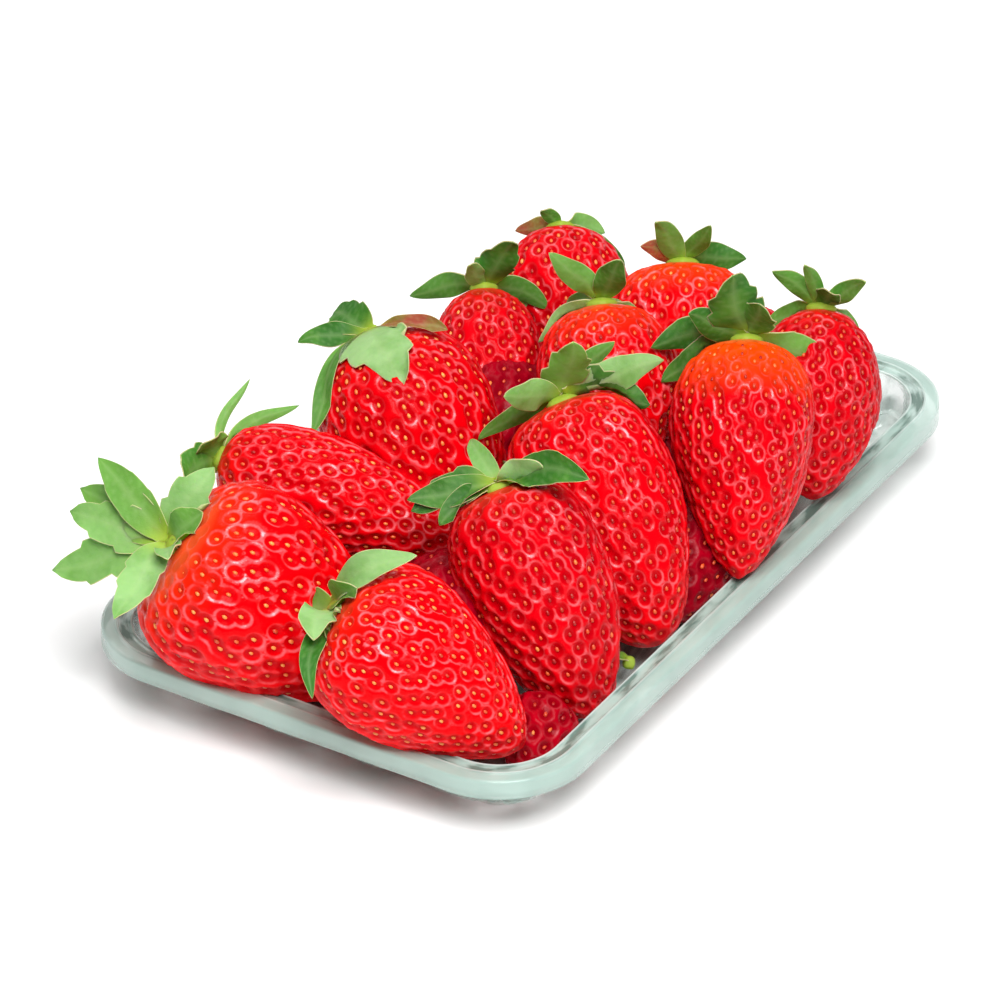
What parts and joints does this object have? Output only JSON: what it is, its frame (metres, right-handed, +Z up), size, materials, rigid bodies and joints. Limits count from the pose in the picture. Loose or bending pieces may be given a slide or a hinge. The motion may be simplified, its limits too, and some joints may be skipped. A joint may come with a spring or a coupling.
{
  "type": "punnet of strawberries",
  "caption": "Shallow clear plastic tray with a flat rim, heaped with large ripe strawberries that still have their leafy caps.",
  "frame": {"origin": "middle of the tray's flat underside", "axes": "+X along the tray's long side, +Y across it, +Z up out of the tray"},
  "size_m": [0.1951, 0.1139, 0.0693],
  "materials": {
    "clear_plastic": "clear thin sheet with a pale green tint, glossy",
    "berry_flesh": "moist dimpled red fruit skin with yellow seeds and green leafy caps"
  },
  "bodies": {
    "root": {"tray": "clear_plastic", "berries": "berry_flesh"}
  },
  "joints": []
}
